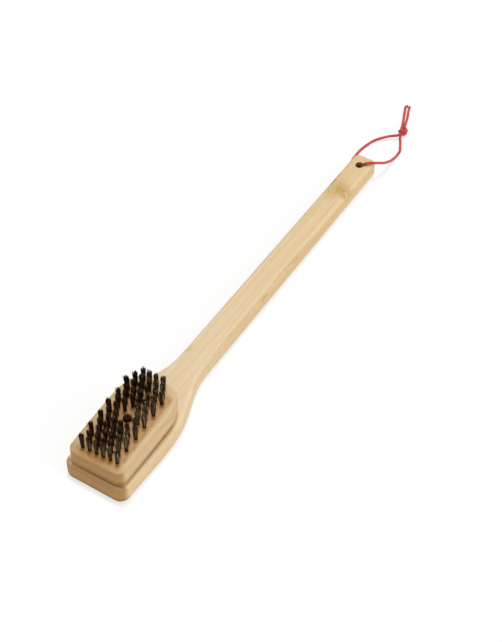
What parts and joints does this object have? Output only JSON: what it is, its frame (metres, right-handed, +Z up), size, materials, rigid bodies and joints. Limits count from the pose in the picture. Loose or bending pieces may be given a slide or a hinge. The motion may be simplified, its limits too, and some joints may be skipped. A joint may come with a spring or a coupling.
{
  "type": "grill brush",
  "caption": "Long-handled grill cleaning brush: flat bamboo handle with a wide paddle, a screwed-on block of dark wire tufts in staggered rows, and a red hanging cord.",
  "frame": {"origin": "under the middle of the handle, on the plane of its underside, in the middle of the brush's width", "axes": "+X along the handle to its far end, +Z up through the bristles as the brush lies on its back, +Y to the brush's left seen from the head"},
  "size_m": [0.564, 0.0632, 0.0558],
  "materials": {
    "bamboo": "light bamboo, sanded, satin, grain along the handle",
    "bamboo_block": "laminated bamboo, sanded, satin",
    "bristle_wire": "dark oxidised steel wire",
    "screw_steel": "dark coated steel",
    "cord": "red braided cord"
  },
  "bodies": {
    "root": {"handle": "bamboo", "head_block": "bamboo_block", "head_screw": "screw_steel", "tuft_row_01": "bristle_wire", "tuft_row_02": "bristle_wire", "tuft_row_03": "bristle_wire", "tuft_row_04": "bristle_wire", "tuft_row_05": "bristle_wire", "tuft_row_06": "bristle_wire", "tuft_row_07": "bristle_wire", "tuft_row_08": "bristle_wire", "tuft_row_09": "bristle_wire", "tuft_row_10": "bristle_wire", "tuft_row_11": "bristle_wire", "tuft_row_12": "bristle_wire", "tuft_row_13": "bristle_wire", "tuft_row_14": "bristle_wire", "cord_loop": "cord", "cord_knot": "cord", "cord_tail_1": "cord", "cord_tail_2": "cord"}
  },
  "joints": []
}
